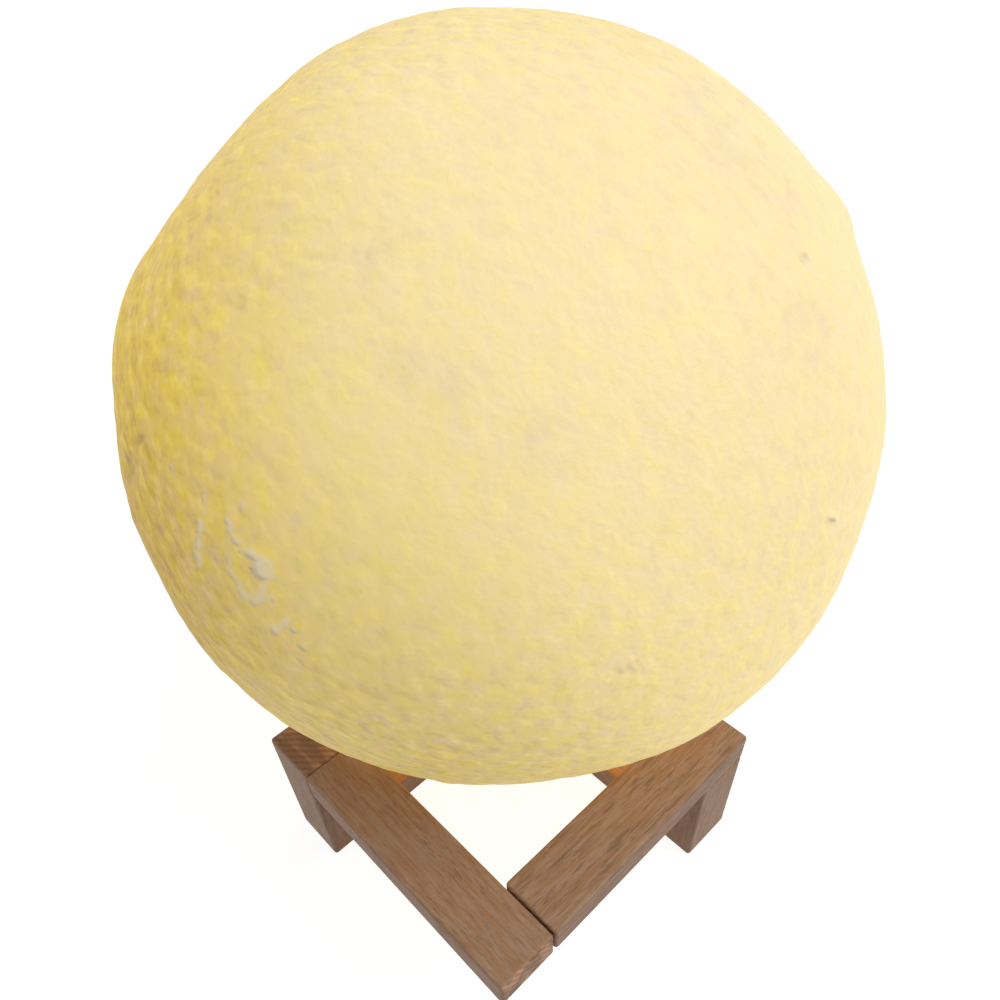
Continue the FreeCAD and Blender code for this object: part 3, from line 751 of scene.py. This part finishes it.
def beech_finish(node, axis, shift, streaked, colours):
    """Beech: fine fibres, short dark flecks along the grain, and sawn, darker end grain."""
    made, nodes, shader = material("beech_" + node)
    along = ALONG[axis]
    ends = [corner[along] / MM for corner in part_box(node)]

    def grained(length, *pattern):
        scale = [1.0, 1.0, 1.0]
        scale[along] = 1 / length
        return nodes.noise(object_millimetres(nodes, shift, (0, 0, 0), scale), *pattern)

    fibres = grained(*FIBRES)
    flecks = grained(*FLECKS).between(0.50, 0.68)
    patches = grained(*FLECK_PATCHES)
    bands = grained(*WARM_BANDS)
    streaks = grained(*STREAKS).between(0.50, 0.68) * streaked
    wood = nodes.colours(bands.between(0.38, 0.62), solid(colours.beech),
                         solid(colours.beech_warm))
    wood = nodes.tinted(wood, fibres.between(0.35, 0.7) * 0.4, (0.72, 0.68, 0.66))
    dark = flecks * (0.35 + 0.65 * patches.between(0.30, 0.60))
    wood = nodes.colours(dark * 0.38, wood, solid(colours.fleck))
    wood = nodes.colours(streaks * 0.50, wood, solid(colours.fleck))
    where = object_millimetres(nodes)
    place = nodes.dot(where, [float(index == along) for index in range(3)])
    across = 1 - (place - ends[0]).between(*END_EDGE) * (ends[1] - place).between(*END_EDGE)
    saw = nodes.node("ShaderNodeTexWave", {"bands_direction": "DIAGONAL"},
                     {"Vector": where, "Scale": 0.30, "Distortion": 1.5, "Detail": 2.0}, "Fac")
    pores = nodes.noise(where, 0.6, 3.0, 0.7)
    rings = nodes.noise(object_millimetres(nodes, shift, (0, 0, 0.6), (1, 0.2, 1)), 3.4, 2.0)
    end = nodes.colours(rings.between(0.38, 0.62), solid(colours.end_grain),
                        solid(tuple(RING_SHARE * part for part in colours.end_grain)))
    end = nodes.colours(0.45 * saw + 0.40 * pores.between(0.5, 0.8), end, solid(colours.fleck))
    nodes.feed(shader.inputs["Base Color"], nodes.colours(across, wood, end))
    nodes.feed(shader.inputs["Roughness"], 0.48 + 0.2 * fibres)
    shader.inputs["Specular IOR Level"].default_value = 0.35
    bump(nodes, shader, fibres - 0.8 * dark - 0.6 * streaks, 0.12 * MM, 0.6)
    return made


def dress(node, finish):
    """Give a frame piece its finish."""
    piece = NODES[node]
    piece.data.materials.clear()
    piece.data.materials.append(finish)


class MOONLAMP_OT_stand(bpy.types.Operator):
    """Give every stick of the stand its own piece of beech"""

    bl_idname = "moonlamp.stand"
    bl_label = "Beech Stand"

    def execute(self, context):
        colours = context.scene.moonlamp_colours
        for node, (axis, shift, streaked) in STICKS.items():
            dress(node, beech_finish(node, axis, shift, streaked, colours))
        return {"FINISHED"}


# ---- The base in the ball's underside ----------------------------------------------------

def moulded_finish(name, colour, roughness, grain=0.35):
    """Moulded plastic with a fine spark-eroded texture and a little wear."""
    made, nodes, shader = material(name)
    where = object_millimetres(nodes)
    wear = nodes.noise(where, 6.0, 3.0, 0.6)
    base = nodes.colours(wear.between(0.35, 0.75) * 0.5, solid(colour),
                         solid(tuple(0.88 * part for part in colour)))
    nodes.feed(shader.inputs["Base Color"], base)
    nodes.feed(shader.inputs["Roughness"], roughness + 0.15 * wear)
    bump(nodes, shader, nodes.noise(where, grain, 2.0), 0.05 * MM, 0.5)
    return made


def metal_finish(name, colour, roughness, grain):
    """Plated or brushed metal with a fine grain."""
    made, nodes, shader = material(name)
    where = object_millimetres(nodes, scale=grain)
    scratch = nodes.noise(where, 0.5, 4.0, 0.7)
    base = nodes.colours(scratch * 0.3, solid(colour), solid(tuple(0.75 * c for c in colour)))
    nodes.feed(shader.inputs["Base Color"], base)
    shader.inputs["Metallic"].default_value = 1.0
    nodes.feed(shader.inputs["Roughness"], roughness + 0.2 * scratch)
    bump(nodes, shader, scratch, 0.02 * MM, 0.4)
    return made


def board_finish(name, colour, trace):
    """A circuit board: a lacquered face with paler tracks under it."""
    made, nodes, shader = material(name)
    where = object_millimetres(nodes)
    tracks = nodes.node("ShaderNodeTexVoronoi", {"distance": "CHEBYCHEV", "feature": "F1"},
                        {"Vector": where, "Scale": 0.35}, "Distance")
    lines = abs(tracks - 0.45).between(0.03, 0.06)
    base = nodes.colours(lines, solid(trace), solid(colour))
    nodes.feed(shader.inputs["Base Color"], base)
    nodes.feed(shader.inputs["Roughness"], 0.3 + 0.1 * lines)
    bump(nodes, shader, 1 - lines, 0.04 * MM, 0.5)
    return made


def foam_finish(name, colour):
    """Closed-cell foam."""
    made, nodes, shader = material(name)
    where = object_millimetres(nodes)
    bubbles = nodes.cells(where, 0.5)
    base = nodes.colours(bubbles, solid(tuple(0.5 * c for c in colour)), solid(colour))
    nodes.feed(shader.inputs["Base Color"], base)
    shader.inputs["Roughness"].default_value = 0.9
    bump(nodes, shader, bubbles, 0.15 * MM, 0.7)
    return made


def clear_finish(name):
    """Clear moulded acrylic."""
    made, nodes, shader = material(name)
    where = object_millimetres(nodes)
    haze = nodes.noise(where, 1.0, 2.0)
    nodes.feed(shader.inputs["Base Color"], nodes.colours(
        haze, (0.93, 0.95, 0.96, 1.0), (0.80, 0.84, 0.86, 1.0)))
    nodes.feed(shader.inputs["Roughness"], 0.08 + 0.1 * haze)
    shader.inputs["Transmission Weight"].default_value = 0.8
    shader.inputs["IOR"].default_value = 1.49
    return made


def lamp_finish(name):
    """A lit lamp's phosphor."""
    made, nodes, shader = material(name)
    where = object_millimetres(nodes)
    speck = nodes.noise(where, 0.6, 2.0)
    nodes.feed(shader.inputs["Base Color"], nodes.colours(
        speck, (0.85, 0.62, 0.10, 1.0), (0.95, 0.78, 0.25, 1.0)))
    nodes.feed(shader.inputs["Emission Color"], nodes.colours(
        speck, (1.0, 0.72, 0.25, 1.0), (1.0, 0.82, 0.40, 1.0)))
    shader.inputs["Emission Strength"].default_value = 2.0
    return made


class MOONLAMP_OT_base(bpy.types.Operator):
    """Finish the base, the button and everything inside them"""

    bl_idname = "moonlamp.base"
    bl_label = "Base"

    def execute(self, context):
        shell_white = moulded_finish("base_white", (0.80, 0.79, 0.76), 0.42)
        steel = metal_finish("zinc_steel", (0.62, 0.62, 0.64), 0.25, (1, 1, 0.2))
        foam = foam_finish("dark_foam", (0.06, 0.06, 0.06))
        wire = moulded_finish("wire_red", (0.50, 0.03, 0.02), 0.35, 0.8)
        finishes = {
            "base_housing": shell_white,
            "base_cover": shell_white,
            "base_gasket": foam,
            "cover_screws": steel,
            "board_screws": steel,
            "led_board_screws": steel,
            "charge_socket": metal_finish("socket_steel", (0.72, 0.72, 0.73), 0.2,
                                          (0.2, 1, 1)),
            "push_switch": moulded_finish("switch_black", (0.03, 0.03, 0.03), 0.4),
            "power_button": moulded_finish("button_grey", (0.55, 0.56, 0.57), 0.22, 0.8),
            "indicator_light_pipe": clear_finish("clear_acrylic"),
            "control_board": board_finish("green_board", (0.02, 0.16, 0.06),
                                          (0.08, 0.34, 0.14)),
            "board_chips": moulded_finish("chip_black", (0.025, 0.025, 0.028), 0.5),
            "battery_cell": metal_finish("cell_foil", (0.70, 0.71, 0.73), 0.3, (1, 1, 1)),
            "battery_foam_pads": foam,
            "battery_wires": wire,
            "led_wires": wire,
            "led_board": board_finish("lamp_board", (0.82, 0.82, 0.80),
                                      (0.70, 0.70, 0.69)),
            "led_chips": lamp_finish("lamp_phosphor"),
        }
        for node, finish in finishes.items():
            dress(node, finish)
        return {"FINISHED"}


# ---- The stage ---------------------------------------------------------------------------

# Where the softboxes stand and what they face, in metres.
KEY_PLACE = (0.55, -0.75, 0.95)
FILL_PLACE = (-0.9, 0.1, 0.7)
LIT_POINT = (0, 0, 0.08)
FLOOR_GREY = (0.25, 0.25, 0.25, 1.0)
FLOOR_SEEN = (0.86, 0.86, 0.86, 1.0)


def seen_directly(nodes):
    """1 for a ray from the camera, or one that a glossy or clear surface passes on."""
    path = nodes.tree.nodes.new("ShaderNodeLightPath")
    camera, glossy, clear = (Value(nodes, path.outputs[name]) for name in (
        "Is Camera Ray", "Is Glossy Ray", "Is Transmission Ray"))
    return camera.math("MAXIMUM", camera, glossy.math("MAXIMUM", glossy, clear))


def floor_finish():
    """A pale floor that the camera sees as white, with the lamp's shadow kept."""
    made, nodes, shader = material("pale_floor")
    shader.inputs["Base Color"].default_value = FLOOR_GREY
    shader.inputs["Roughness"].default_value = 0.9
    shader.inputs["Specular IOR Level"].default_value = 0.0
    nodes.feed(shader.inputs["Emission Color"], nodes.colours(
        seen_directly(nodes), (0, 0, 0, 1), FLOOR_SEEN))
    shader.inputs["Emission Strength"].default_value = 1.0
    return made


def softbox(name, place, target, size, power, colour):
    """A square area lamp that faces a point."""
    light = bpy.data.lights.new(name, "AREA")
    light.shape = "SQUARE"
    light.size = size
    light.energy = power
    light.color = colour
    lamp = bpy.data.objects.new(name, light)
    lamp.location = place
    lamp.rotation_euler = (Vector(target) - Vector(place)).to_track_quat("-Z", "Y").to_euler()
    bpy.context.scene.collection.objects.link(lamp)


def photograph_camera():
    """The camera at the photograph's viewing angle."""
    data = bpy.data.cameras.new("photograph_view")
    data.sensor_width = 36.0
    data.lens = FOCAL_PIXELS / PICTURE * data.sensor_width
    data.shift_x, data.shift_y = CAMERA_SHIFT
    data.clip_start = 0.005
    camera = bpy.data.objects.new("photograph_view", data)
    right, above, back = camera_axes()
    turn = Matrix((right, above, back)).transposed().to_4x4()
    camera.matrix_world = Matrix.Translation(CAMERA_PLACE) @ turn
    bpy.context.scene.collection.objects.link(camera)
    bpy.context.scene.camera = camera


def room(strength):
    """Even light from all round, which the camera sees as white."""
    world = bpy.data.worlds.new("white_room")
    world.use_nodes = True
    world.node_tree.nodes.clear()
    nodes = Nodes(world.node_tree)
    plain_light, white = (
        nodes.node("ShaderNodeBackground", {}, {"Color": (level, level, level, 1)},
                   "Background") for level in (strength, 1.0))
    background = nodes.node("ShaderNodeMixShader", {}, {
        "Fac": seen_directly(nodes), 1: plain_light, 2: white}, "Shader")
    output = world.node_tree.nodes.new("ShaderNodeOutputWorld")
    world.node_tree.links.new(background.socket, output.inputs["Surface"])
    bpy.context.scene.world = world


class MOONLAMP_OT_stage(bpy.types.Operator):
    """Lay the floor, hang the lights and set the camera"""

    bl_idname = "moonlamp.stage"
    bl_label = "Stage"

    def execute(self, context):
        settings = context.scene.moonlamp_stage
        bpy.ops.mesh.primitive_plane_add(size=settings.floor_size, location=(0, 0, 0))
        floor = context.object
        floor.name = "floor"
        floor.data.materials.append(floor_finish())
        softbox("key_light", KEY_PLACE, LIT_POINT, 0.7, settings.key_power,
                (1.0, 0.98, 0.96))
        softbox("fill_light", FILL_PLACE, LIT_POINT, 0.8, settings.fill_power,
                (0.95, 0.97, 1.0))
        room(settings.sky)
        photograph_camera()
        context.scene.view_settings.view_transform = "Standard"
        return {"FINISHED"}


# ---- The panel and the run ---------------------------------------------------------------

class MOONLAMP_PT_panel(bpy.types.Panel):
    """Buttons that build the lamp, piece by piece"""

    bl_idname = "MOONLAMP_PT_panel"
    bl_label = "Moon Lamp"
    bl_space_type = "VIEW_3D"
    bl_region_type = "UI"
    bl_category = "Moon Lamp"

    def draw(self, context):
        scene = context.scene
        for step in STEPS:
            self.layout.operator(step)
        for settings in (scene.moonlamp_ball, scene.moonlamp_colours, scene.moonlamp_stage):
            box = self.layout.box()
            for name in settings.bl_rna.properties.keys():
                if name not in ("rna_type", "name"):
                    box.prop(settings, name)


CLASSES = (BallSettings, ColourSettings, StageSettings, MOONLAMP_OT_ball, MOONLAMP_OT_stand,
           MOONLAMP_OT_base, MOONLAMP_OT_stage, MOONLAMP_PT_panel)
STEPS = ("moonlamp.ball", "moonlamp.stand", "moonlamp.base", "moonlamp.stage")


def register():
    for cls in CLASSES:
        bpy.utils.register_class(cls)
    bpy.types.Scene.moonlamp_ball = PointerProperty(type=BallSettings)
    bpy.types.Scene.moonlamp_colours = PointerProperty(type=ColourSettings)
    bpy.types.Scene.moonlamp_stage = PointerProperty(type=StageSettings)


def unregister():
    del bpy.types.Scene.moonlamp_stage
    del bpy.types.Scene.moonlamp_colours
    del bpy.types.Scene.moonlamp_ball
    for cls in reversed(CLASSES):
        bpy.utils.unregister_class(cls)


def main():
    """Build everything in order."""
    register()
    bpy.ops.moonlamp.ball()
    bpy.ops.moonlamp.stand()
    bpy.ops.moonlamp.base()
    bpy.ops.moonlamp.stage()


if __name__ == "__main__":
    main()
